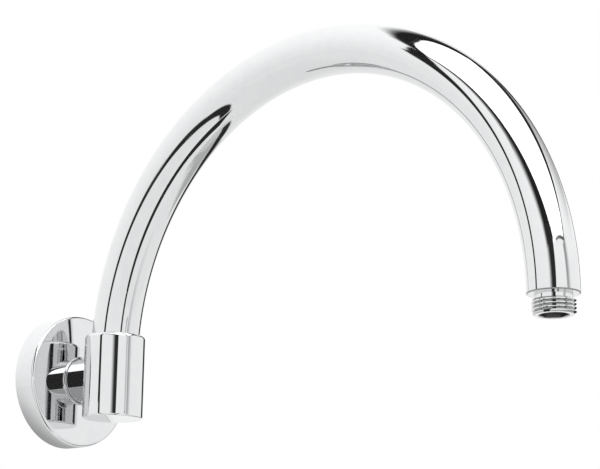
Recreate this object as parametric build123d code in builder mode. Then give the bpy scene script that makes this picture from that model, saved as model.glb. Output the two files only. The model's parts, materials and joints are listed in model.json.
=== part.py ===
"""Wall shower arm: flange, neck, hub, a tube bent in one half circle, and a threaded outlet.

Millimetres and degrees. The origin is on the inlet's axis, in the plane of the wall. +X points out
of the wall and +Z up, and the arm's tube is bent in the XZ plane.
"""
import os
from math import cos, radians, sin, sqrt

from build123d import *

os.makedirs("parts", exist_ok=True)

# Arm tube: drawn tube, bent in one arc that starts on the floor of the hub's socket
TUBE_OD = 25.4
TUBE_WALL = 1.2
BEND_RADIUS = 144.0
BEND_ANGLE = 177.4

# Hub: turned body that leads the water from the neck up into the tube
HUB_WALL = 2.95             # round the tube's socket
HUB_FOOT = 13.5             # below the neck's spigot
HUB_TOP_ROUND = 2.0
HUB_BOTTOM_ROUND = 1.0
HUB_WATERWAY = 16.0         # upright bore from the socket down to the neck's bore
SUMP_DEPTH = 1.5            # how far that bore runs on below the neck's bore
SOCKET_DEPTH = 12.0
SOCKET_CLEARANCE = 0.1
SOCKET_CHAMFER = 0.3
PORT_WEB = 1.5              # between the neck's port and the socket above it
PORT_LEDGE = 1.0            # between the port's floor and the waterway

# Neck: barrel between wall and hub, with a threaded tail for the wall fitting
NECK_OD = 24.0
NECK_BORE = 13.0
NECK_SHOW = 9.0             # from the flange's face to the hub
NECK_SHOULDER = 4.0         # from the wall to the barrel's shoulder
SPIGOT_WALL = 2.0
TAIL_LENGTH = 14.0          # behind the wall
TAIL_RELIEF = 1.2           # depth of the groove between thread and shoulder
TAIL_RELIEF_WIDTH = 2.5

# Pipe thread G1/2, drawn as a plain cylinder of its outside diameter
THREAD_OD = 20.955
THREAD_CHAMFER = 1.1

# Wall flange: cover round the neck, open towards the wall
FLANGE_OD = 70.0
FLANGE_DEPTH = 13.5
FLANGE_FACE = 2.5
FLANGE_RIM = 2.0
FLANGE_EDGE_ROUND = 1.0
FLANGE_CLEARANCE = 0.15     # round the neck
LIP_HEIGHT = 1.2
LIP_WALL = 0.5
LIP_ROUND = 0.2
LIP_FOOT_ROUND = 0.4
BOSS_WALL = 1.5             # outside and behind the ring's groove

# Rubber ring in the flange's boss, pressed flat against the neck
RING_SECTION = 2.6
RING_SQUEEZE = 0.3
RING_SIDE_ROOM = 0.2

# Outlet bush: caps the tube's end, with a sleeve inside the bore
BUSH_HEAD = 1.5
BUSH_END_ROUND = 0.6
BUSH_DEPTH = 8.0
BUSH_CLEARANCE = 0.05
BUSH_WALL = 2.228
BUSH_LEDGE = 1.5            # the nipple stops on it

# Outlet nipple: spigot in the bush, then the outlet thread, with a hexagon all through
NIPPLE_WALL = 1.667         # at the hexagon's corners
NIPPLE_RELIEF = 3.1         # bare spigot between bush and thread
NIPPLE_THREAD = 6.8
NIPPLE_MOUTH = 0.3          # chamfer on the hexagon's corners
NIPPLE_TURN = 37.0          # of a corner of the hexagon, from the bend's plane


def bend_drift(length):
    """How far a tube bent round BEND_RADIUS strays from its straight line over this length."""
    return BEND_RADIUS - sqrt(BEND_RADIUS**2 - length**2)


# Radii
tube_radius = TUBE_OD / 2
bore_radius = tube_radius - TUBE_WALL
neck_radius = NECK_OD / 2
neck_bore_radius = NECK_BORE / 2
spigot_radius = neck_bore_radius + SPIGOT_WALL
waterway_radius = HUB_WATERWAY / 2
thread_radius = THREAD_OD / 2
relief_radius = thread_radius - TAIL_RELIEF
flange_radius = FLANGE_OD / 2

# The bent tube stands half its drift behind the socket's axis at the floor, and half in front above
socket_drift = bend_drift(SOCKET_DEPTH)
socket_radius = tube_radius + socket_drift / 2 + SOCKET_CLEARANCE
hub_radius = socket_radius + HUB_WALL

# Distances from the wall
tail_end = -TAIL_LENGTH
flange_back_of_face = FLANGE_DEPTH - FLANGE_FACE
hub_x = FLANGE_DEPTH + NECK_SHOW + hub_radius
port_floor_x = hub_x - waterway_radius - PORT_LEDGE

# Heights from the neck's axis
socket_floor = spigot_radius + PORT_WEB
hub_top = socket_floor + SOCKET_DEPTH
hub_bottom = -spigot_radius - HUB_FOOT
waterway_floor = -neck_bore_radius - SUMP_DEPTH

# Bend, from the socket's floor over to the outlet
tube_start = Vector(hub_x - socket_drift / 2, 0, socket_floor)
bend_axis = Axis(tube_start + Vector(BEND_RADIUS, 0, 0), (0, 1, 0))
outward = Vector(-cos(radians(BEND_ANGLE)), 0, sin(radians(BEND_ANGLE)))
outlet_way = Vector(sin(radians(BEND_ANGLE)), 0, cos(radians(BEND_ANGLE)))
tube_end = bend_axis.position + outward * BEND_RADIUS
outlet_axis = Axis(tube_end, outlet_way)

# Outlet sizes, worked inwards from the tube's bore, and levels along the outlet from the tube's end
bush_radius = bore_radius - bend_drift(BUSH_DEPTH) - BUSH_CLEARANCE
nipple_radius = bush_radius - BUSH_WALL
hex_corner_radius = nipple_radius - NIPPLE_WALL
ledge_level = -BUSH_DEPTH + BUSH_LEDGE
thread_level = BUSH_HEAD + NIPPLE_RELIEF
nipple_end = thread_level + NIPPLE_THREAD

# Planes for turned profiles: first axis along X or outwards from the outlet, second up or down the outlet
neck_section = Plane.XZ
outlet_section = Plane(tube_end, x_dir=outward, z_dir=(0, 1, 0))

# Rubber ring's groove in the flange's boss
ring_room = RING_SECTION - RING_SQUEEZE
groove_radius = neck_radius + ring_room
groove_half_width = RING_SECTION / 2 + RING_SIDE_ROOM
ring_x = flange_back_of_face - groove_half_width
boss_radius = groove_radius + BOSS_WALL
boss_back = ring_x - groove_half_width - BOSS_WALL
hole_radius = neck_radius + FLANGE_CLEARANCE
lip_radius = hole_radius + LIP_WALL


# Wall flange: turned cup with a lip in front and a boss behind, both round the neck
with BuildPart() as wall_flange:
    with BuildSketch(neck_section):
        with BuildLine():
            Polyline(
                (0, flange_radius),
                (FLANGE_DEPTH, flange_radius),
                (FLANGE_DEPTH, lip_radius),
                (FLANGE_DEPTH + LIP_HEIGHT, lip_radius),
                (FLANGE_DEPTH + LIP_HEIGHT, hole_radius),
                (ring_x + groove_half_width, hole_radius),
                (ring_x + groove_half_width, groove_radius),
                (ring_x - groove_half_width, groove_radius),
                (ring_x - groove_half_width, hole_radius),
                (boss_back, hole_radius),
                (boss_back, boss_radius),
                (flange_back_of_face, boss_radius),
                (flange_back_of_face, flange_radius - FLANGE_RIM),
                (0, flange_radius - FLANGE_RIM),
                close=True,
            )
        make_face()
    revolve(axis=Axis.X)
    round_edges = wall_flange.edges().filter_by(GeomType.CIRCLE)
    face_edges = round_edges.filter_by_position(Axis.X, FLANGE_DEPTH, FLANGE_DEPTH)
    fillet(face_edges.sort_by(SortBy.RADIUS)[-1], FLANGE_EDGE_ROUND)
    fillet(face_edges.sort_by(SortBy.RADIUS)[0], LIP_FOOT_ROUND)
    round_edges = wall_flange.edges().filter_by(GeomType.CIRCLE)
    fillet(round_edges.group_by(Axis.X)[-1].sort_by(SortBy.RADIUS)[-1], LIP_ROUND)
wall_flange.part.label = "wall_flange"
export_step(wall_flange.part, "parts/wall_flange.step")


# Flange ring: round rubber section, flattened where it bears on the neck and in its groove
with BuildPart() as flange_o_ring:
    with BuildSketch(neck_section):
        with Locations((ring_x, neck_radius + ring_room / 2)):
            Circle(RING_SECTION / 2)
            Rectangle(RING_SECTION, ring_room, mode=Mode.INTERSECT)
    revolve(axis=Axis.X)
flange_o_ring.part.label = "flange_o_ring"
export_step(flange_o_ring.part, "parts/flange_o_ring.step")


# Inlet neck: turned barrel and threaded tail, coped to the hub, with a spigot in the hub's port
with BuildPart() as inlet_neck:
    with BuildSketch(neck_section):
        with BuildLine():
            Polyline(
                (tail_end, 0),
                (tail_end, thread_radius - THREAD_CHAMFER),
                (tail_end + THREAD_CHAMFER, thread_radius),
                (NECK_SHOULDER - TAIL_RELIEF_WIDTH, thread_radius),
                (NECK_SHOULDER - TAIL_RELIEF_WIDTH, relief_radius),
                (NECK_SHOULDER, relief_radius),
                (NECK_SHOULDER, neck_radius),
                (hub_x, neck_radius),
                (hub_x, 0),
                close=True,
            )
        make_face()
    revolve(axis=Axis.X)
    with BuildSketch(Plane((hub_x, 0, -neck_radius))):
        Circle(hub_radius)
    extrude(amount=NECK_OD, mode=Mode.SUBTRACT)
    with BuildSketch(Plane.YZ.offset(port_floor_x)):
        Circle(spigot_radius)
    extrude(amount=NECK_SHOULDER - port_floor_x)
    with BuildSketch(Plane.YZ.offset(tail_end)):
        Circle(neck_bore_radius)
    extrude(amount=port_floor_x - tail_end, mode=Mode.SUBTRACT)
inlet_neck.part.label = "inlet_neck"
export_step(inlet_neck.part, "parts/inlet_neck.step")


# Hub: upright turned body with the tube's socket on top, a waterway and the neck's port behind
with BuildPart() as hub:
    with BuildSketch(Plane((hub_x, 0, hub_bottom))):
        Circle(hub_radius)
    extrude(amount=hub_top - hub_bottom)
    fillet(hub.edges().group_by(Axis.Z)[-1], HUB_TOP_ROUND)
    fillet(hub.edges().group_by(Axis.Z)[0], HUB_BOTTOM_ROUND)
    with BuildSketch(Plane((hub_x, 0, socket_floor))):
        Circle(socket_radius)
    extrude(amount=SOCKET_DEPTH, mode=Mode.SUBTRACT)
    top_edges = hub.edges().filter_by(GeomType.CIRCLE).group_by(Axis.Z)[-1]
    chamfer(top_edges.sort_by(SortBy.RADIUS)[0], SOCKET_CHAMFER)
    with BuildSketch(Plane((hub_x, 0, waterway_floor))):
        Circle(waterway_radius)
    extrude(amount=socket_floor - waterway_floor, mode=Mode.SUBTRACT)
    with BuildSketch(Plane.YZ.offset(port_floor_x)):
        Circle(spigot_radius)
    extrude(amount=-hub_radius, mode=Mode.SUBTRACT)
    with BuildSketch(Plane.YZ.offset(port_floor_x)):
        Circle(neck_bore_radius)
    extrude(amount=hub_x - port_floor_x, mode=Mode.SUBTRACT)
hub.part.label = "hub"
export_step(hub.part, "parts/hub.step")


# Arm tube: ring section turned about the bend's axis
with BuildPart() as arm_tube:
    with BuildSketch(Plane(tube_start)):
        Circle(tube_radius)
        Circle(bore_radius, mode=Mode.SUBTRACT)
    revolve(axis=bend_axis, revolution_arc=BEND_ANGLE)
arm_tube.part.label = "arm_tube"
export_step(arm_tube.part, "parts/arm_tube.step")


# Outlet bush: head as wide as the tube, and a sleeve that clears the bend, with a ledge at its top
with BuildPart() as outlet_bush:
    with BuildSketch(outlet_section):
        with BuildLine():
            Polyline(
                (nipple_radius, BUSH_HEAD),
                (tube_radius, BUSH_HEAD),
                (tube_radius, 0),
                (bush_radius, 0),
                (bush_radius, -BUSH_DEPTH),
                (nipple_radius - BUSH_LEDGE, -BUSH_DEPTH),
                (nipple_radius - BUSH_LEDGE, ledge_level),
                (nipple_radius, ledge_level),
                close=True,
            )
        make_face()
    revolve(axis=outlet_axis)
    end_edges = outlet_bush.edges().filter_by(GeomType.CIRCLE).group_by(outlet_axis)[-1]
    fillet(end_edges.sort_by(SortBy.RADIUS)[-1], BUSH_END_ROUND)
outlet_bush.part.label = "outlet_bush"
export_step(outlet_bush.part, "parts/outlet_bush.step")


# Outlet nipple: spigot and thread turned on the outlet's axis, with the key's hexagon through it
with BuildPart() as outlet_nipple:
    with BuildSketch(outlet_section):
        with BuildLine():
            Polyline(
                (0, ledge_level),
                (nipple_radius, ledge_level),
                (nipple_radius, thread_level),
                (thread_radius, thread_level),
                (thread_radius, nipple_end - THREAD_CHAMFER),
                (thread_radius - THREAD_CHAMFER, nipple_end),
                (hex_corner_radius, nipple_end),
                (hex_corner_radius - NIPPLE_MOUTH, nipple_end - NIPPLE_MOUTH),
                (0, nipple_end - NIPPLE_MOUTH),
                close=True,
            )
        make_face()
    revolve(axis=outlet_axis)
    with BuildSketch(Plane(tube_end + outlet_way * ledge_level, x_dir=outward, z_dir=outlet_way)):
        RegularPolygon(hex_corner_radius, 6, rotation=-NIPPLE_TURN)
    extrude(amount=nipple_end - ledge_level, mode=Mode.SUBTRACT)
outlet_nipple.part.label = "outlet_nipple"
export_step(outlet_nipple.part, "parts/outlet_nipple.step")
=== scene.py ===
import json
from math import atan2, cos, pi, radians, sin, sqrt

import bmesh
import bpy
from mathutils import Matrix, Vector


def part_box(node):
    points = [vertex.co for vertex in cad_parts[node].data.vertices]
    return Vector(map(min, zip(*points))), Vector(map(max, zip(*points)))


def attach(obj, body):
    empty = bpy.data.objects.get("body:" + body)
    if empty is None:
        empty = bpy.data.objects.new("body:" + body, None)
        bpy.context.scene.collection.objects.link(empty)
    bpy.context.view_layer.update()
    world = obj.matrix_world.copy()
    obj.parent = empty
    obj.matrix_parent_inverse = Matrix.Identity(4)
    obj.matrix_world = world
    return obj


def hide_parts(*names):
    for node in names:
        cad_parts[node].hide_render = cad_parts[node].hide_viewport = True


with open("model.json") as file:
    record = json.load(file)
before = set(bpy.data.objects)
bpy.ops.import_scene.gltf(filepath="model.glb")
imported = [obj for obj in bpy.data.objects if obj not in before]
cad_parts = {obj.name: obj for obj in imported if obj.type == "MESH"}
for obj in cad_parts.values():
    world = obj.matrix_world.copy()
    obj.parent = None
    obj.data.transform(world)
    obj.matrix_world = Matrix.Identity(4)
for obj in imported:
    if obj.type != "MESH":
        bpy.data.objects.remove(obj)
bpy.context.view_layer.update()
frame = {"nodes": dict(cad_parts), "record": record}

# Hub: upright turned brass body that leads the water from the neck up into the tube.
# Its rounded top has a socket for the tube, its foot is nearly square, and a port takes the neck.
# Like all the arm's brass it is ground, buffed and chrome-plated, so it mirrors what is round it.
upward = Vector((0, 0, 1))
along_neck = Vector((1, 0, 0))
wall_point = Vector((0, 0, 0))
hub_low, hub_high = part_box("hub")
tube_low, tube_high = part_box("arm_tube")
neck_low, neck_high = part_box("inlet_neck")
hub_radius = (hub_high.y - hub_low.y) / 2
hub_height = hub_high.z - hub_low.z
hub_foot = Vector(((hub_low.x + hub_high.x) / 2, 0, hub_low.z))
hub_top_round = 0.002
hub_foot_round = 0.001
tube_radius = tube_high.y
braze_gap = 0.00035
socket_radius = tube_radius + braze_gap
socket_floor = tube_low.z - hub_low.z
socket_edge_round = 0.0003
waterway_radius = 0.008
waterway_floor = 0.014
neck_bore_radius = 0.0065
spigot_radius = 0.0085
port_mouth = hub_low.x - 0.001
port_low = neck_low.z - hub_low.z
port_high = neck_high.z - hub_low.z


def section_line(bm, corners, foot, along, out, closed=True):
    """Draws a half section and gives its points and edges. A corner is its level on an axis, its
    distance out from the axis and, where it is rounded, the radius of the round."""
    before = set(bm.verts)
    points = [bm.verts.new(foot + along * corner[0] + out * corner[1]) for corner in corners]
    for number in range(0 if closed else 1, len(points)):
        bm.edges.new((points[number - 1], points[number]))
    for point, corner in zip(points, corners):
        for radius in corner[2:]:
            bmesh.ops.bevel(bm, geom=[point], offset=radius, offset_type="OFFSET", segments=8,
                            profile=0.5, affect="VERTICES", material=-1)
    drawn = [v for v in bm.verts if v not in before]
    return drawn + list(dict.fromkeys(e for v in drawn for e in v.link_edges))


def turned(bm, line, foot, along, steps=144):
    """Turns a half section round an axis, as on a lathe."""
    bmesh.ops.spin(bm, geom=line, cent=foot, axis=along, angle=2 * pi, steps=steps, use_merge=True)


def outwards(bm):
    """Closes the seams of a shape and turns all its faces outwards."""
    bmesh.ops.remove_doubles(bm, verts=bm.verts[:], dist=2e-6)
    bmesh.ops.recalc_face_normals(bm, faces=bm.faces[:])
    if bm.calc_volume(signed=True) < 0:
        bmesh.ops.reverse_faces(bm, faces=bm.faces[:])


def drilled(bm, tool):
    """The shape with the tool's shape taken out of it."""
    blanks = []
    for shape in (bm, tool):
        outwards(shape)
        mesh = bpy.data.meshes.new("blank")
        shape.to_mesh(mesh)
        shape.free()
        blank = bpy.data.objects.new("blank", mesh)
        bpy.context.scene.collection.objects.link(blank)
        blanks.append(blank)
    cut = blanks[0].modifiers.new("cut", "BOOLEAN")
    cut.operation = "DIFFERENCE"
    cut.solver = "EXACT"
    cut.object = blanks[1]
    cut_blank = blanks[0].evaluated_get(bpy.context.evaluated_depsgraph_get())
    cut_mesh = bpy.data.meshes.new_from_object(cut_blank)
    cut_shape = bmesh.new()
    cut_shape.from_mesh(cut_mesh)
    for spent in [cut_mesh] + [blank.data for blank in blanks]:
        bpy.data.meshes.remove(spent)
    return cut_shape


def finished(bm, name, *finishes, sharp=35):
    """The piece as an object that rides with the arm, in these finishes. It is smooth but for edges
    that are sharper than this angle in degrees."""
    outwards(bm)
    mesh = bpy.data.meshes.new(name)
    bm.to_mesh(mesh)
    bm.free()
    mesh.shade_smooth()
    mesh.set_sharp_from_angle(angle=radians(sharp))
    for finish in finishes:
        mesh.materials.append(finish)
    piece = bpy.data.objects.new(name, mesh)
    bpy.context.scene.collection.objects.link(piece)
    true_faces = piece.modifiers.new("true_faces", "WEIGHTED_NORMAL")
    true_faces.weight = 100
    true_faces.keep_sharp = True
    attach(piece, "root")
    return piece


polish = bpy.data.node_groups.new("buffed_plate", "ShaderNodeTree")
for socket_name in ("Wave Scale", "Haze Scale", "Clean", "Hazed"):
    polish.interface.new_socket(socket_name, in_out="INPUT", socket_type="NodeSocketFloat")
for socket_name in ("Bright", "Dim"):
    polish.interface.new_socket(socket_name, in_out="INPUT", socket_type="NodeSocketColor")
polish.interface.new_socket("Color", in_out="OUTPUT", socket_type="NodeSocketColor")
for socket_name in ("Roughness", "Height"):
    polish.interface.new_socket(socket_name, in_out="OUTPUT", socket_type="NodeSocketFloat")
inside = polish.nodes
given = inside.new("NodeGroupInput")
result = inside.new("NodeGroupOutput")
place = inside.new("ShaderNodeTexCoord")
waves = inside.new("ShaderNodeTexNoise")
waves.inputs["Detail"].default_value = 1.0
haze = inside.new("ShaderNodeTexNoise")
haze.inputs["Detail"].default_value = 5.0
haze.inputs["Roughness"].default_value = 0.6
patches = inside.new("ShaderNodeMapRange")
patches.inputs["From Min"].default_value = 0.42
patches.inputs["From Max"].default_value = 0.72
dulled = inside.new("ShaderNodeMapRange")
tinted = inside.new("ShaderNodeMix")
tinted.data_type = "RGBA"
for source, target in (
    (place.outputs["Object"], waves.inputs["Vector"]),
    (place.outputs["Object"], haze.inputs["Vector"]),
    (given.outputs["Wave Scale"], waves.inputs["Scale"]),
    (given.outputs["Haze Scale"], haze.inputs["Scale"]),
    (haze.outputs["Fac"], patches.inputs["Value"]),
    (patches.outputs["Result"], dulled.inputs["Value"]),
    (given.outputs["Clean"], dulled.inputs["To Min"]),
    (given.outputs["Hazed"], dulled.inputs["To Max"]),
    (patches.outputs["Result"], tinted.inputs["Factor"]),
    (given.outputs["Bright"], tinted.inputs["A"]),
    (given.outputs["Dim"], tinted.inputs["B"]),
    (tinted.outputs["Result"], result.inputs["Color"]),
    (dulled.outputs["Result"], result.inputs["Roughness"]),
    (waves.outputs["Fac"], result.inputs["Height"]),
):
    polish.links.new(source, target)


def chrome(name, clean=0.03, hazed=0.05, wave_depth=0.000002,
           bright=(0.74, 0.745, 0.75), dim=(0.715, 0.722, 0.73)):
    """Plated brass: the roughness of its clean and its hazed patches, the depth of its buffing
    waves in metres, and its colour where it is clean and where it is hazed."""
    material = bpy.data.materials.new(name)
    material.use_nodes = True
    nodes, links = material.node_tree.nodes, material.node_tree.links
    shader = nodes["Principled BSDF"]
    shader.inputs["Metallic"].default_value = 1.0
    plate = nodes.new("ShaderNodeGroup")
    plate.node_tree = polish
    plate.inputs["Wave Scale"].default_value = 70.0
    plate.inputs["Haze Scale"].default_value = 160.0
    plate.inputs["Clean"].default_value = clean
    plate.inputs["Hazed"].default_value = hazed
    plate.inputs["Bright"].default_value = (*bright, 1.0)
    plate.inputs["Dim"].default_value = (*dim, 1.0)
    bump = nodes.new("ShaderNodeBump")
    bump.inputs["Strength"].default_value = 1.0
    bump.inputs["Distance"].default_value = wave_depth
    links.new(plate.outputs["Color"], shader.inputs["Base Color"])
    links.new(plate.outputs["Roughness"], shader.inputs["Roughness"])
    links.new(plate.outputs["Height"], bump.inputs["Height"])
    links.new(bump.outputs["Normal"], shader.inputs["Normal"])
    return material


bm = bmesh.new()
line = section_line(bm, (
    (0, 0.0),
    (0, hub_radius, hub_foot_round),
    (port_low, hub_radius),
    (port_high, hub_radius),
    (hub_height, hub_radius, hub_top_round),
    (hub_height, socket_radius, socket_edge_round),
    (socket_floor, socket_radius),
    (socket_floor, waterway_radius),
    (waterway_floor, waterway_radius),
    (waterway_floor, 0.0),
), hub_foot, upward, along_neck)
turned(bm, line, hub_foot, upward, steps=192)
port = bmesh.new()
line = section_line(port, (
    (port_mouth, 0.0),
    (port_mouth, spigot_radius),
    (neck_high.x, spigot_radius),
    (neck_high.x, neck_bore_radius),
    (hub_foot.x, neck_bore_radius),
    (hub_foot.x, 0.0),
), wall_point, along_neck, upward)
turned(port, line, wall_point, along_neck, steps=96)
bm = drilled(bm, port)
hub = finished(bm, "hub_body", chrome("hub_chrome"))
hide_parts("hub")

# Inlet neck: turned brass barrel between wall and hub, coped to the hub and brazed there.
# Behind the flange it ends in a right-handed pipe thread that screws into the wall fitting.
# The tail is plated with the rest, but no buff reaches it, so it is duller.
pitch = 0.001814
inlet = next(m for m in frame["record"]["mounts"] if m["name"] == "inlet_thread")
thread_radius = inlet["dims"]["r_mm"] / 1000
thread_depth = 0.00116
thread_flat = 0.00015
thread_chamfer = 0.0011
thread_steps = 96
neck_radius = neck_high.z
neck_end = neck_high.x
neck_meets_hub = hub_low.x
shoulder = 0.004
shoulder_round = 0.0004
tail_relief_length = 0.0025
tail_relief_depth = 0.0012
thread_stop = shoulder - tail_relief_length
relief_radius = thread_radius - tail_relief_depth
# painted shade: the colour that the thread's roots darken to
root_shade = (0.36, 0.36, 0.36, 1.0)
hair = 1e-6  # points nearer than this count as touching


def from_axis(point, foot, along):
    """A point's level on an axis, and its arm, the way to it straight out from the axis."""
    level = (point - foot).dot(along)
    return level, point - foot - along * level


def pipe_thread(bm, foot, along, out, first, last, crest, cut_end):
    """Right-handed thread between the levels first and last on an axis. A crest passes the out side
    at the level crest, and the thread is chamfered at cut_end, which is first or last."""
    root = thread_radius - thread_depth
    flank = (pitch - 4 * thread_flat) / 2
    begin = crest - pitch / 2
    while begin > first - pitch:
        begin -= pitch
    line = section_line(bm, (
        (begin, root),
        (begin + thread_flat, root),
        (begin + thread_flat + flank, thread_radius),
        (begin + 3 * thread_flat + flank, thread_radius),
        (begin + 3 * thread_flat + 2 * flank, root),
        (begin + pitch, root),
    ), foot, along, out, closed=False)
    turns = int((last - begin) / pitch) + 2
    bmesh.ops.spin(bm, geom=line, cent=foot, axis=along, dvec=along * pitch / thread_steps,
                   angle=2 * pi * turns, steps=thread_steps * turns)
    bmesh.ops.remove_doubles(bm, verts=bm.verts[:], dist=5e-6)
    inward = 1 if cut_end == first else -1
    chamfer_foot = cut_end + inward * thread_chamfer
    for level, below, above in (
        (first, True, False),
        (last, False, True),
        (chamfer_foot, False, False),
    ):
        bmesh.ops.bisect_plane(bm, geom=bm.verts[:] + bm.edges[:] + bm.faces[:], dist=1e-7,
                               plane_co=foot + along * level, plane_no=along, clear_inner=below,
                               clear_outer=above)
    for v in bm.verts:
        level, arm = from_axis(v.co, foot, along)
        limit = thread_radius - max(0.0, (chamfer_foot - level) * inward)
        if arm.length > limit:
            v.co = foot + along * level + arm * (limit / arm.length)


def open_ring(bm, foot, along, level, low, high):
    """The open edges at one level on an axis whose ends lie between two radii."""
    def here(v):
        height, arm = from_axis(v.co, foot, along)
        return abs(height - level) < hair and low - hair < arm.length < high + hair
    return [e for e in bm.edges if e.is_boundary and all(here(v) for v in e.verts)]


# Mask for the painted shade of thread roots: 0 near the crests, 1 at the roots
root_shade_mask = bpy.data.node_groups.new("root_shade_mask", "ShaderNodeTree")
for socket_name in ("Foot", "Along"):
    root_shade_mask.interface.new_socket(socket_name, in_out="INPUT", socket_type="NodeSocketVector")
root_shade_mask.interface.new_socket("Mask", in_out="OUTPUT", socket_type="NodeSocketFloat")
inside = root_shade_mask.nodes
given = inside.new("NodeGroupInput")
result = inside.new("NodeGroupOutput")
place = inside.new("ShaderNodeTexCoord")
from_foot = inside.new("ShaderNodeVectorMath")
from_foot.operation = "SUBTRACT"
side_on = inside.new("ShaderNodeVectorMath")
side_on.operation = "CROSS_PRODUCT"
reach = inside.new("ShaderNodeVectorMath")
reach.operation = "LENGTH"
rooted = inside.new("ShaderNodeMapRange")
rooted.interpolation_type = "SMOOTHSTEP"
rooted.inputs["From Min"].default_value = thread_radius - thread_depth / 4
rooted.inputs["From Max"].default_value = thread_radius - thread_depth
for source, target in (
    (place.outputs["Object"], from_foot.inputs[0]),
    (given.outputs["Foot"], from_foot.inputs[1]),
    (from_foot.outputs["Vector"], side_on.inputs[0]),
    (given.outputs["Along"], side_on.inputs[1]),
    (side_on.outputs["Vector"], reach.inputs[0]),
    (reach.outputs["Value"], rooted.inputs["Value"]),
    (rooted.outputs["Result"], result.inputs["Mask"]),
):
    root_shade_mask.links.new(source, target)


def with_shaded_roots(material, foot, along):
    """Thread with painted shade in its roots: its colour darkens towards them, round this axis."""
    nodes, links = material.node_tree.nodes, material.node_tree.links
    shader = nodes["Principled BSDF"]
    plated = shader.inputs["Base Color"].links[0].from_socket
    roots = nodes.new("ShaderNodeGroup")
    roots.node_tree = root_shade_mask
    roots.inputs["Foot"].default_value = foot
    roots.inputs["Along"].default_value = along
    # painted shade: the plate's colour is mixed towards root_shade in the roots
    darker = nodes.new("ShaderNodeMix")
    darker.data_type = "RGBA"
    darker.inputs["B"].default_value = root_shade
    links.new(roots.outputs["Mask"], darker.inputs["Factor"])
    links.new(plated, darker.inputs["A"])
    links.new(darker.outputs["Result"], shader.inputs["Base Color"])
    return material


bm = bmesh.new()
pipe_thread(bm, wall_point, along_neck, upward, first=neck_low.x, last=thread_stop, crest=0.0,
            cut_end=neck_low.x)
line = section_line(bm, (
    (thread_stop, relief_radius),
    (shoulder, relief_radius),
    (shoulder, neck_radius, shoulder_round),
    (neck_meets_hub, neck_radius),
    (neck_meets_hub, spigot_radius),
    (neck_end, spigot_radius),
    (neck_end, neck_bore_radius),
    (neck_low.x, neck_bore_radius),
), wall_point, along_neck, upward, closed=False)
turned(bm, line, wall_point, along_neck)
for v in bm.verts:
    level, arm = from_axis(v.co, wall_point, along_neck)
    if abs(level - neck_meets_hub) < hair and arm.length > spigot_radius - hair:
        v.co.x = hub_foot.x - sqrt(hub_radius**2 - v.co.y**2)
for level, inner in ((thread_stop, relief_radius), (neck_low.x, neck_bore_radius)):
    rings = open_ring(bm, wall_point, along_neck, level, low=inner, high=thread_radius)
    bmesh.ops.bridge_loops(bm, edges=rings)
for face in bm.faces:
    if face.calc_center_median().x < shoulder:
        face.material_index = 1
tail_plate = chrome("tail_plate", clean=0.18, hazed=0.30, wave_depth=0.00001)
neck = finished(bm, "inlet_neck_barrel", chrome("neck_chrome"),
                with_shaded_roots(tail_plate, wall_point, along_neck))
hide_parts("inlet_neck")

# Arm tube: drawn brass tube, bent in one arc from the hub's socket over to the outlet.
# It is buffed all round after bending and plated with the rest of the arm.
bend_radius = tube_high.z - tube_low.z - tube_radius
bend_centre = Vector((tube_low.x + tube_radius + bend_radius, 0, tube_low.z))
tube_wall = 0.0012
outlet = next(m for m in frame["record"]["mounts"] if m["name"] == "outlet_thread")
outlet_way = Vector(outlet["axis"]).normalized()
bend_angle = atan2(outlet_way.x, outlet_way.z)
bend_axis = Vector((0, 1, 0))
tube_start = bend_centre - Vector((bend_radius, 0, 0))
bm = bmesh.new()
for radius in (tube_radius, tube_radius - tube_wall):
    bmesh.ops.create_circle(bm, cap_ends=False, radius=radius, segments=128,
                            matrix=Matrix.Translation(tube_start))
bmesh.ops.bridge_loops(bm, edges=bm.edges[:])
section = bm.faces[:] + bm.edges[:] + bm.verts[:]
bmesh.ops.spin(bm, geom=section, cent=bend_centre, axis=bend_axis, angle=bend_angle, steps=240)
tube = finished(bm, "arm_tube_bend", chrome("tube_chrome"))
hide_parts("arm_tube")

# Braze: the ring of filler metal that closes the gap between tube and socket at the hub's top.
# It was run in with a torch, wiped flush and plated with the rest.
braze_foot = hub_height - 0.0012
braze_top = hub_height - 0.0003
braze_sag = 0.0002
braze_sag_round = 0.0002
braze_sag_radius = tube_radius - 0.0001
braze_inner = tube_radius - 0.0006
bm = bmesh.new()
line = section_line(bm, (
    (braze_foot, braze_inner),
    (braze_foot, socket_radius),
    (braze_top, socket_radius),
    (braze_top - braze_sag, braze_sag_radius, braze_sag_round),
    (braze_top, braze_inner),
), hub_foot, upward, along_neck)
turned(bm, line, hub_foot, upward)
braze = finished(bm, "socket_braze",
                 chrome("braze_chrome", clean=0.08, hazed=0.2, wave_depth=0.00002))

# Outlet bush: turned brass bush that caps the tube's end, brazed in and plated over the joint.
# The nipple is screwed through its middle. Its rounded edge is left as turned, so it is duller, and
# its colour is darkened there with painted shade.
tube_end = bend_centre + Vector((-cos(bend_angle), 0, sin(bend_angle))) * bend_radius
outward = Vector((-outlet_way.z, 0, outlet_way.x))
bush_head = 0.0015
bush_end_round = 0.0006
bush_mouth_round = 0.0002
bush_depth = 0.008
bush_ledge = 0.0015
bush_sleeve = 0.011228
nipple_radius = 0.009
ledge_level = bush_ledge - bush_depth
bm = bmesh.new()
line = section_line(bm, (
    (bush_head, nipple_radius, bush_mouth_round),
    (bush_head, tube_radius, bush_end_round),
    (0, tube_radius),
    (0, bush_sleeve),
    (-bush_depth, bush_sleeve),
    (-bush_depth, nipple_radius - bush_ledge),
    (ledge_level, nipple_radius - bush_ledge),
    (ledge_level, nipple_radius),
), tube_end, outlet_way, outward)
turned(bm, line, tube_end, outlet_way, steps=128)
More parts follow.
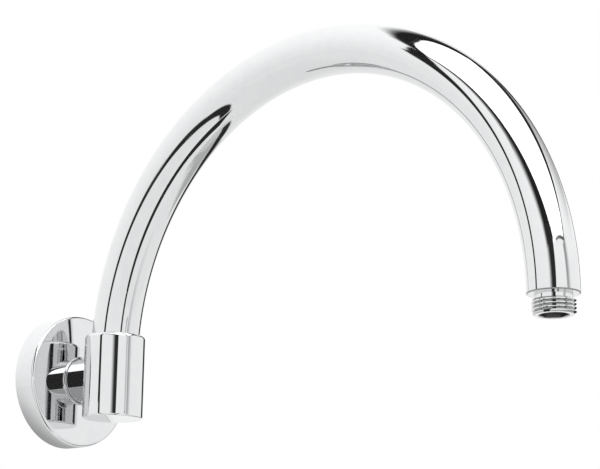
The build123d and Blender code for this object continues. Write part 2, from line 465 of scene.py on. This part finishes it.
for face in bm.faces:
    level, arm = from_axis(face.calc_center_median(), tube_end, outlet_way)
    in_round = bush_head - bush_end_round < level < bush_head - hair
    if in_round and arm.length > tube_radius - bush_end_round:
        face.material_index = 1
# painted shade: the rounded edge gets a dark plate colour
shaded_bush_edge = chrome("shaded_bush_edge", clean=0.20, hazed=0.32, wave_depth=0.00001,
                   bright=(0.34, 0.34, 0.34), dim=(0.28, 0.28, 0.28))
bush = finished(bm, "outlet_bush_cap", chrome("bush_chrome", hazed=0.06), shaded_bush_edge)
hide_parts("outlet_bush")

# Outlet nipple: turned brass nipple with a right-handed pipe thread for the shower head.
# A hexagon runs all through it for the key that screws it in, and water passes there in use.
thread_middle = (Vector(outlet["pos_m"]) - tube_end).dot(outlet_way)
nipple_end = thread_middle + outlet["dims"]["length_mm"] / 2000 + thread_chamfer
nipple_relief = 0.0026
thread_first = bush_head + nipple_relief
crest_level = 0.00481
hex_flat = 0.00635
hex_corner = hex_flat / cos(pi / 6)
hex_mouth = 0.0003
hex_turn = radians(-37)
hex_side = Matrix.Rotation(hex_turn, 3, outlet_way) @ outward
face_margin = 1e-5  # faces nearer to an end than this belong to the end
bm = bmesh.new()
pipe_thread(bm, tube_end, outlet_way, outward, first=thread_first, last=nipple_end,
            crest=crest_level, cut_end=nipple_end)
line = section_line(bm, (
    (thread_first, nipple_radius),
    (ledge_level, nipple_radius),
), tube_end, outlet_way, outward, closed=False)
turned(bm, line, tube_end, outlet_way, steps=thread_steps)
line = section_line(bm, (
    (nipple_end, hex_corner),
    (nipple_end - hex_mouth, hex_corner),
    (ledge_level, hex_corner),
), tube_end, outlet_way, hex_side, closed=False)
turned(bm, line, tube_end, outlet_way, steps=thread_steps)
for v in bm.verts:
    level, arm = from_axis(v.co, tube_end, outlet_way)
    if abs(arm.length - hex_corner) < hair and level < nipple_end - hex_mouth / 2:
        from_flat = arm.angle(hex_side) % (pi / 3) - pi / 6
        v.co = tube_end + outlet_way * level + arm * (hex_flat / hex_corner / cos(from_flat))
for level, inner in (
    (thread_first, nipple_radius),
    (nipple_end, hex_corner),
    (ledge_level, hex_flat),
):
    rings = open_ring(bm, tube_end, outlet_way, level, low=inner, high=thread_radius)
    bmesh.ops.bridge_loops(bm, edges=rings)
for face in bm.faces:
    level, arm = from_axis(face.calc_center_median(), tube_end, outlet_way)
    if level < nipple_end - face_margin and arm.length < hex_corner:
        face.material_index = 2
    elif thread_first + face_margin < level < nipple_end - face_margin:
        face.material_index = 1
thread_plate = chrome("thread_plate", clean=0.06, hazed=0.14, wave_depth=0.000004)
nipple_inside = chrome("nipple_inside", clean=0.25, hazed=0.40, wave_depth=0.00001,
                       bright=(0.36, 0.355, 0.35), dim=(0.28, 0.275, 0.27))
nipple = finished(bm, "outlet_nipple_thread", chrome("nipple_chrome", clean=0.05, hazed=0.09),
                  with_shaded_roots(thread_plate, tube_end, outlet_way), nipple_inside)
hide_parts("outlet_nipple")

# Flange ring: moulded black rubber ring that grips the neck inside the flange's boss.
# It keeps the solid of the CAD model and gets a matt rubber with a fine moulded grain.
rubber = bpy.data.materials.new("seal_rubber")
rubber.use_nodes = True
nodes, links = rubber.node_tree.nodes, rubber.node_tree.links
shader = nodes["Principled BSDF"]
place = nodes.new("ShaderNodeTexCoord")
grain = nodes.new("ShaderNodeTexNoise")
grain.inputs["Scale"].default_value = 2600.0
grain.inputs["Detail"].default_value = 3.0
shade = nodes.new("ShaderNodeMix")
shade.data_type = "RGBA"
shade.inputs["A"].default_value = (0.022, 0.022, 0.023, 1.0)
shade.inputs["B"].default_value = (0.045, 0.045, 0.046, 1.0)
dull = nodes.new("ShaderNodeMapRange")
dull.inputs["To Min"].default_value = 0.55
dull.inputs["To Max"].default_value = 0.8
bump = nodes.new("ShaderNodeBump")
bump.inputs["Distance"].default_value = 0.00005
links.new(place.outputs["Object"], grain.inputs["Vector"])
links.new(grain.outputs["Fac"], shade.inputs["Factor"])
links.new(shade.outputs["Result"], shader.inputs["Base Color"])
links.new(grain.outputs["Fac"], dull.inputs["Value"])
links.new(dull.outputs["Result"], shader.inputs["Roughness"])
links.new(grain.outputs["Fac"], bump.inputs["Height"])
links.new(bump.outputs["Normal"], shader.inputs["Normal"])
ring = frame["nodes"]["flange_o_ring"]
ring.data.materials.clear()
ring.data.materials.append(rubber)

# Wall flange: turned brass cup that slides over the neck and covers the hole in the wall.
# A low lip stands round the neck, and a boss behind the face holds the rubber ring.
# Outside it is buffed and plated like the hub, and inside the plate is left dull.
flange_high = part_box("wall_flange")[1]
ring_low, ring_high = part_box("flange_o_ring")
flange_radius = flange_high.z
flange_rim = 0.002
flange_skin = 0.0025
flange_hole = neck_radius + 0.00015
lip_height = 0.0012
lip_radius = flange_hole + 0.0005
flange_face = flange_high.x - lip_height
face_back = flange_face - flange_skin
hollow_radius = flange_radius - flange_rim
groove_low = ring_low.x - 0.0002
groove_floor = ring_high.z
boss_wall = 0.0015
boss_end = groove_low - boss_wall
boss_radius = groove_floor + boss_wall
flange_edge_round = 0.0018
rim_round = 0.0004
lip_round = 0.0002
lip_foot_round = 0.0004
boss_hole_round = 0.0003
boss_round = 0.0004
boss_foot_round = 0.0006
hollow_round = 0.001
bm = bmesh.new()
line = section_line(bm, (
    (0, flange_radius, rim_round),
    (flange_face, flange_radius, flange_edge_round),
    (flange_face, lip_radius, lip_foot_round),
    (flange_high.x, lip_radius, lip_round),
    (flange_high.x, flange_hole, lip_round),
    (face_back, flange_hole),
    (face_back, groove_floor),
    (groove_low, groove_floor),
    (groove_low, flange_hole),
    (boss_end, flange_hole, boss_hole_round),
    (boss_end, boss_radius, boss_round),
    (face_back, boss_radius, boss_foot_round),
    (face_back, hollow_radius, hollow_round),
    (0, hollow_radius, rim_round),
), wall_point, along_neck, upward)
turned(bm, line, wall_point, along_neck, steps=192)
for face in bm.faces:
    level, arm = from_axis(face.calc_center_median(), wall_point, along_neck)
    if level < face_back + face_margin and arm.length < flange_radius - flange_rim / 2:
        face.material_index = 1
flange = finished(bm, "wall_flange_cup", chrome("flange_chrome", hazed=0.06),
                  chrome("flange_inside", clean=0.22, hazed=0.34, wave_depth=0.00001))
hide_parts("wall_flange")

# Floor: plain pale table far below the arm, which hangs free of it.
# It pales to white at its rim, so no edge shows.
floor_height = -0.6
floor_middle = Vector((0.16, 0, floor_height))
floor_reach = 4.0
bm = bmesh.new()
bmesh.ops.create_grid(bm, x_segments=1, y_segments=1, size=floor_reach,
                      matrix=Matrix.Translation(floor_middle))
mesh = bpy.data.meshes.new("floor")
bm.to_mesh(mesh)
bm.free()
floor = bpy.data.objects.new("floor", mesh)
bpy.context.scene.collection.objects.link(floor)
pale = bpy.data.materials.new("pale_floor")
pale.use_nodes = True
nodes, links = pale.node_tree.nodes, pale.node_tree.links
shader = nodes["Principled BSDF"]
shader.inputs["Base Color"].default_value = (0.95, 0.95, 0.95, 1.0)
shader.inputs["Roughness"].default_value = 0.9
white = nodes.new("ShaderNodeEmission")
place = nodes.new("ShaderNodeTexCoord")
reach = nodes.new("ShaderNodeVectorMath")
reach.operation = "LENGTH"
paling = nodes.new("ShaderNodeMapRange")
paling.interpolation_type = "SMOOTHSTEP"
paling.inputs["From Min"].default_value = 0.2
paling.inputs["From Max"].default_value = 1.6
both = nodes.new("ShaderNodeMixShader")
links.new(place.outputs["Object"], reach.inputs[0])
links.new(reach.outputs["Value"], paling.inputs["Value"])
links.new(paling.outputs["Result"], both.inputs["Fac"])
links.new(shader.outputs["BSDF"], both.inputs[1])
links.new(white.outputs["Emission"], both.inputs[2])
links.new(both.outputs["Shader"], nodes["Material Output"].inputs["Surface"])
floor.data.materials.append(pale)

# Light tent: white cloth all round, a bright panel overhead, and dark gaps between the cloths.
# The arm mirrors the gaps as dark lines. The camera sees none of it, and it throws no shade.
panel_height = 0.619
left_front = Vector((-0.012, -0.50, panel_height))
right_front = Vector((1.32, -0.70, panel_height))
right_back = Vector((1.38, 0.26, panel_height))
left_back = Vector((0.158, 0.38, panel_height))
under_panel = panel_height - 0.004
under_gaps = panel_height - 0.007
on_floor = floor_height + 0.006
near_floor = floor_height + 0.003
arm_middle = Vector((0.18, 0, 0.05))


def hung(bm, name, material, lights=False):
    """A part of the tent, which the camera doesn't see and which throws no shade. Only a cloth that
    lights counts for surfaces that aren't mirrors."""
    mesh = bpy.data.meshes.new(name)
    bm.to_mesh(mesh)
    bm.free()
    mesh.materials.append(material)
    cloth = bpy.data.objects.new(name, mesh)
    bpy.context.scene.collection.objects.link(cloth)
    cloth.visible_camera = False
    cloth.visible_shadow = False
    cloth.visible_diffuse = lights


def dark_cloth(name, tone, mirror=0):
    """Dark where the shape's layer says so, else clear. It shows in all mirrors, or, where a
    mirror's number is given, only to light that has met so many."""
    material = bpy.data.materials.new(name)
    material.use_nodes = True
    nodes, links = material.node_tree.nodes, material.node_tree.links
    nodes.remove(nodes["Principled BSDF"])
    shade = nodes.new("ShaderNodeEmission")
    shade.inputs["Color"].default_value = (tone, tone, tone, 1.0)
    clear = nodes.new("ShaderNodeBsdfTransparent")
    fading = nodes.new("ShaderNodeAttribute")
    fading.attribute_name = "dark"
    smooth = nodes.new("ShaderNodeMapRange")
    smooth.interpolation_type = "SMOOTHSTEP"
    shown = smooth.outputs["Result"]
    links.new(fading.outputs["Fac"], smooth.inputs["Value"])
    if mirror:
        path = nodes.new("ShaderNodeLightPath")
        met = nodes.new("ShaderNodeMath")
        met.operation = "COMPARE"
        met.inputs[1].default_value = mirror
        met.inputs[2].default_value = 0.5
        only = nodes.new("ShaderNodeMath")
        only.operation = "MULTIPLY"
        links.new(path.outputs["Glossy Depth"], met.inputs[0])
        links.new(shown, only.inputs[0])
        links.new(met.outputs["Value"], only.inputs[1])
        shown = only.outputs["Value"]
    both = nodes.new("ShaderNodeMixShader")
    links.new(shown, both.inputs["Fac"])
    links.new(clear.outputs["BSDF"], both.inputs[1])
    links.new(shade.outputs["Emission"], both.inputs[2])
    links.new(both.outputs["Shader"], nodes["Material Output"].inputs["Surface"])
    return material


def between(first, last, share):
    """The value at this share of the way from the first to the last."""
    return first + (last - first) * share


def dark_gap(name, start, end, width, soft, soft_end=None, tone=0.025, depth=(1.0, 1.0), mirror=0):
    """A gap from start to end, with its width and its depth at both ends. Each side fades over a
    soft margin, which may change to that of soft_end. A level gap lies flat, any other faces the
    arm."""
    start, end = Vector(start), Vector(end)
    soft_end = soft_end or soft
    run = end - start
    facing = upward if abs(run.z) < hair else arm_middle - (start + end) / 2
    across = run.cross(facing).normalized()
    strips = 3
    bm = bmesh.new()
    dark = bm.verts.layers.float.new("dark")
    bmesh.ops.create_grid(bm, x_segments=strips, y_segments=12, size=0.5)
    for v in bm.verts:
        column = round((v.co.x + 0.5) * strips)
        share = v.co.y + 0.5
        half = between(*width, share) / 2
        low = between(soft[0], soft_end[0], share)
        high = between(soft[1], soft_end[1], share)
        v[dark] = between(*depth, share) if column in (1, 2) else 0.0
        v.co = start.lerp(end, share) + across * (-half - low, -half, half, half + high)[column]
    hung(bm, name, dark_cloth(name, tone, mirror))


bm = bmesh.new()
bmesh.ops.create_grid(bm, x_segments=1, y_segments=1, size=0.5)
for v in bm.verts:
    left, right = (left_front, right_front) if v.co.y < 0 else (left_back, right_back)
    v.co = left.lerp(right, v.co.x + 0.5)
glow = bpy.data.materials.new("overhead_cloth")
glow.use_nodes = True
nodes, links = glow.node_tree.nodes, glow.node_tree.links
nodes.remove(nodes["Principled BSDF"])
lit = nodes.new("ShaderNodeEmission")
lit.inputs["Strength"].default_value = 1.9
links.new(lit.outputs["Emission"], nodes["Material Output"].inputs["Surface"])
hung(bm, "overhead_panel", glow, lights=True)

# Gaps round the panel, at two heights so that neighbours can overlap, and the ceiling behind it
dark_gap("front_gap_start", start=(-0.03, -0.498, under_panel), end=(0.33, -0.597, under_panel),
         width=(0.018, 0.07), soft=(0.005, 0.04), soft_end=(0.005, 0.45), tone=0.02)
dark_gap("front_gap", start=(0.33, -0.597, under_panel), end=(1.144, -0.94, under_panel),
         width=(0.07, 0.55), soft=(0.005, 0.45), soft_end=(0.005, 0.36), tone=0.02)
dark_gap("left_front_corner", start=(-0.17, -0.68, under_gaps), end=(0.0, -0.41, under_gaps),
         width=(0.08, 0.035), soft=(0.012, 0.005), tone=0.02)
dark_gap("left_gap_start", start=(-0.012, -0.48, under_gaps), end=(0.091, -0.08, under_gaps),
         width=(0.005, 0.062), soft=(0.022, 0.006), soft_end=(0.05, 0.006), tone=0.02)
dark_gap("left_gap", start=(0.086, -0.10, under_panel), end=(0.123, 0.30, under_panel),
         width=(0.06, 0.068), soft=(0.05, 0.006), soft_end=(0.17, 0.006), tone=0.02)
dark_gap("left_gap_end", start=(0.125, 0.29, under_gaps), end=(0.0085, 0.85, under_gaps),
         width=(0.066, 0.123), soft=(0.17, 0.01), soft_end=(0.06, 0.03), tone=0.02)
dark_gap("back_gap", start=(0.12, 0.4815, under_panel), end=(1.05, 0.3125, under_panel),
         width=(0.217, 0.045), soft=(0.03, 0.01), tone=0.03)
dark_gap("back_gap_end", start=(1.05, 0.325, under_panel), end=(1.39, 0.26, under_panel),
         width=(0.03, 0.08), soft=(0.01, 0.01), tone=0.1)
dark_gap("right_gap", start=(1.385, 0.26, under_panel), end=(1.335, -0.50, under_panel),
         width=(0.05, 0.03), soft=(0.01, 0.01), tone=0.1, depth=(1.0, 0.8))
dark_gap("back_ceiling", start=(0.0, 0.85, panel_height), end=(1.0, 0.75, panel_height),
         width=(0.55, 0.50), soft=(0.40, 0.02), tone=0.45, depth=(1.0, 0.1))

# Front of the tent: post and slit at its corners, and the seams along the floor
dark_gap("left_front_post_top", start=(-0.036, -0.45, 0.465), end=(-0.034, -0.45, 0.045),
         width=(0.055, 0.06), soft=(0.012, 0.012), mirror=1)
dark_gap("left_front_post", start=(-0.0245, -0.45, 0.05), end=(0.0165, -0.45, -0.13),
         width=(0.045, 0.045), soft=(0.012, 0.012), mirror=1)
dark_gap("left_front_post_foot", start=(0.0165, -0.45, -0.13), end=(0.015, -0.44, on_floor),
         width=(0.05, 0.06), soft=(0.012, 0.012), mirror=1)
dark_gap("left_front_seam", start=(0.085, -0.235, on_floor), end=(0.015, -0.445, on_floor),
         width=(0.05, 0.06), soft=(0.012, 0.012), mirror=1)
dark_gap("right_front_slit", start=(0.969, -0.766, 0.595), end=(1.057, -0.788, 0.103),
         width=(0.33, 0.17), soft=(0.34, 0.04), tone=0.03)
dark_gap("front_seam_start", start=(0.10, -0.09, on_floor), end=(0.33, -0.225, on_floor),
         width=(0.2, 0.16), soft=(0.02, 0.02), mirror=1)
dark_gap("front_seam", start=(0.30, -0.215, on_floor), end=(2.5, -1.07, on_floor),
         width=(0.15, 0.396), soft=(0.02, 0.02), mirror=1)
dark_gap("right_post", start=(2.5, -1.07, on_floor), end=(2.75, -1.06, 0.1),
         width=(0.3, 0.3), soft=(0.06, 0.05), tone=0.04)

# Back of the tent: seams and shade along the floor, and a post at each corner
dark_gap("back_seam_start", start=(0.11, 0.25, on_floor), end=(0.07, 0.62, on_floor),
         width=(0.03, 0.08), soft=(0.02, 0.02), depth=(0.9, 1.0))
dark_gap("back_seam", start=(0.07, 0.62, on_floor), end=(-0.06, 1.35, on_floor),
         width=(0.08, 0.185), soft=(0.02, 0.02))
dark_gap("back_shade", start=(0.22, 0.12, near_floor), end=(0.30, 1.4, near_floor),
         width=(0.16, 0.3), soft=(0.08, 0.15), tone=0.5, depth=(0.8, 0.9))
dark_gap("left_back_post", start=(-0.05, 1.139, on_floor), end=(-0.168, 0.85, panel_height),
         width=(0.06, 0.34), soft=(0.05, 0.06), soft_end=(0.18, 0.11))
dark_gap("right_back_post", start=(1.35, 0.154, 0.57), end=(0.893, 0.24, on_floor),
         width=(0.04, 0.04), soft=(0.10, 0.30), tone=0.35, depth=(1.0, 0.2))

# Opening for the camera, and painted shade on the floor, which show only where flange and neck
# mirror the hub
dark_gap("camera_port", start=(0.869, -0.924, 0.472), end=(0.951, -0.777, on_floor),
         width=(0.53, 0.17), soft=(0.012, 0.012), tone=0.03, mirror=2)
# painted shade: a grey sheet on the floor, seen only in the second mirror
dark_gap("floor_shade_second_mirror", start=(0.966, -0.732, near_floor), end=(0.47, 0.524, near_floor),
         width=(0.74, 0.51), soft=(0.34, 0.19), tone=0.48, mirror=2)

# Shade on the wall round the lower half of the flange
shade_reach = 0.016
shade_rise = 0.1
bm = bmesh.new()
dark = bm.verts.layers.float.new("dark")
line = section_line(bm, (
    (0, flange_radius),
    (0, flange_radius + shade_reach),
), wall_point, along_neck, upward, closed=False)
turned(bm, line, wall_point, along_neck, steps=96)
for v in bm.verts:
    if v.co.length < flange_radius + shade_reach / 2:
        v[dark] = min(1.0, max(0.0, shade_rise - v.co.z / flange_radius))
hung(bm, "wall_shade", dark_cloth("wall_shade", tone=0.4))

# Camera: long lens from the right and a little below, at the photograph's viewing angle.
# It stands in the tent's front opening, about one and a half metres from the arm.
camera_place = Vector((1.089926, -1.022067, -0.218197))
camera_azimuth = radians(42.0504)
camera_height = radians(-11.4941)
camera_roll = radians(1.3998)
back = Vector((
    sin(camera_azimuth) * cos(camera_height),
    -cos(camera_azimuth) * cos(camera_height),
    sin(camera_height),
))
level_right = Vector((cos(camera_azimuth), sin(camera_azimuth), 0))
level_up = back.cross(level_right)
right = level_right * cos(camera_roll) + level_up * sin(camera_roll)
up = level_up * cos(camera_roll) - level_right * sin(camera_roll)
lens = bpy.data.cameras.new("camera")
lens.sensor_width = 36.0
lens.lens = 168.194
lens.clip_start = 0.05
lens.clip_end = 20.0
camera = bpy.data.objects.new("camera", lens)
camera.matrix_world = Matrix((
    (right.x, up.x, back.x, camera_place.x),
    (right.y, up.y, back.y, camera_place.y),
    (right.z, up.z, back.z, camera_place.z),
    (0, 0, 0, 1),
))
bpy.context.scene.collection.objects.link(camera)
bpy.context.scene.camera = camera
bpy.context.scene.view_settings.view_transform = "Standard"

# White room: plain white behind the arm, and soft light from all sides at a plain level.
# In mirrors it is the tent's cloth, which glows a little more towards its top.
world = bpy.data.worlds.new("white_room")
world.use_nodes = True
nodes, links = world.node_tree.nodes, world.node_tree.links
room = nodes["Background"]
room.inputs["Color"].default_value = (1, 1, 1, 1)
way = nodes.new("ShaderNodeTexCoord")
height = nodes.new("ShaderNodeSeparateXYZ")
cloth_glow = nodes.new("ShaderNodeMapRange")
cloth_glow.inputs["To Min"].default_value = 1.04
cloth_glow.inputs["To Max"].default_value = 1.31
path = nodes.new("ShaderNodeLightPath")
plain = nodes.new("ShaderNodeMapRange")
plain.inputs["To Min"].default_value = 0.86
plain.inputs["To Max"].default_value = 1.0
strength = nodes.new("ShaderNodeMix")
links.new(way.outputs["Generated"], height.inputs["Vector"])
links.new(height.outputs["Z"], cloth_glow.inputs["Value"])
links.new(path.outputs["Is Camera Ray"], plain.inputs["Value"])
links.new(path.outputs["Is Glossy Ray"], strength.inputs["Factor"])
links.new(plain.outputs["Result"], strength.inputs["A"])
links.new(cloth_glow.outputs["Result"], strength.inputs["B"])
links.new(strength.outputs["Result"], room.inputs["Strength"])
bpy.context.scene.world = world
